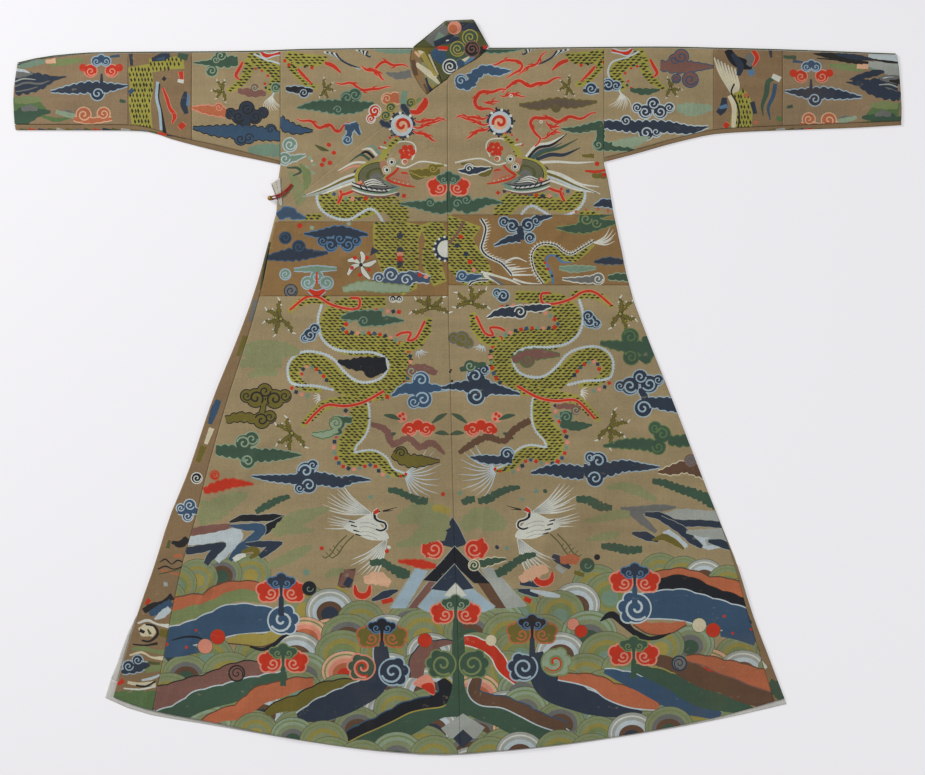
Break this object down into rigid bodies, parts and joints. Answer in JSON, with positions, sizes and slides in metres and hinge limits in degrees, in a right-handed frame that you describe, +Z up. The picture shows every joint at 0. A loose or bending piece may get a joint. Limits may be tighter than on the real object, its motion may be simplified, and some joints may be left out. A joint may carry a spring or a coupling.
{
  "type": "chuba robe laid out flat",
  "caption": "Long-sleeved silk tapestry robe laid out flat on its back, front crossed over to the side and held there by a cord loop on a ball button.",
  "frame": {"origin": "middle of the garment's extent, on the surface that it lies on", "axes": "+Z up out of the surface, +Y from hem to collar, +X towards the wearer's left sleeve"},
  "size_m": [1.7756, 1.4726, 0.0159],
  "materials": {
    "ground_silk": "silk tapestry weave with coloured motifs, aged and slightly lustrous",
    "band_silk": "browner silk tapestry weave with coloured motifs",
    "collar_silk": "silk tapestry weave, stiffened",
    "lining_silk": "plain pale silk, worn and slightly fuzzy",
    "piping": "dark green cord piping",
    "cord": "red silk cord",
    "dark_cord": "dark sewn cord",
    "brass": "worn yellow metal"
  },
  "bodies": {
    "root": {"back_right": "ground_silk", "back_left": "ground_silk", "back_hem_facing": "lining_silk", "back_side_facing": "lining_silk", "under_front": "ground_silk", "overlap_chest": "ground_silk", "chest_left": "ground_silk", "waist_band_right": "band_silk", "waist_band_left": "band_silk", "skirt_right": "ground_silk", "skirt_left": "ground_silk", "side_gore_right": "ground_silk", "side_strip_left": "ground_silk", "sleeve_right_cuff_back": "ground_silk", "sleeve_right_cuff_front": "ground_silk", "sleeve_right_patch_back": "ground_silk", "sleeve_right_patch_front": "ground_silk", "sleeve_right_upper_back": "ground_silk", "sleeve_right_upper_front": "ground_silk", "sleeve_right_strip": "ground_silk", "sleeve_left_upper_back": "ground_silk", "sleeve_left_upper_front": "ground_silk", "sleeve_left_patch_back": "ground_silk", "sleeve_left_patch_front": "ground_silk", "sleeve_left_cuff_back": "ground_silk", "sleeve_left_cuff_front": "ground_silk", "sleeve_left_strip": "ground_silk", "piping_right": "piping", "piping_left": "piping", "piping_collar": "piping", "collar_back": "collar_silk", "collar_outer_leaf": "collar_silk", "collar_under_leaf": "collar_silk", "closure_tab": "lining_silk", "closure_loop": "cord", "closure_button": "brass", "button_cord": "dark_cord"}
  },
  "joints": []
}
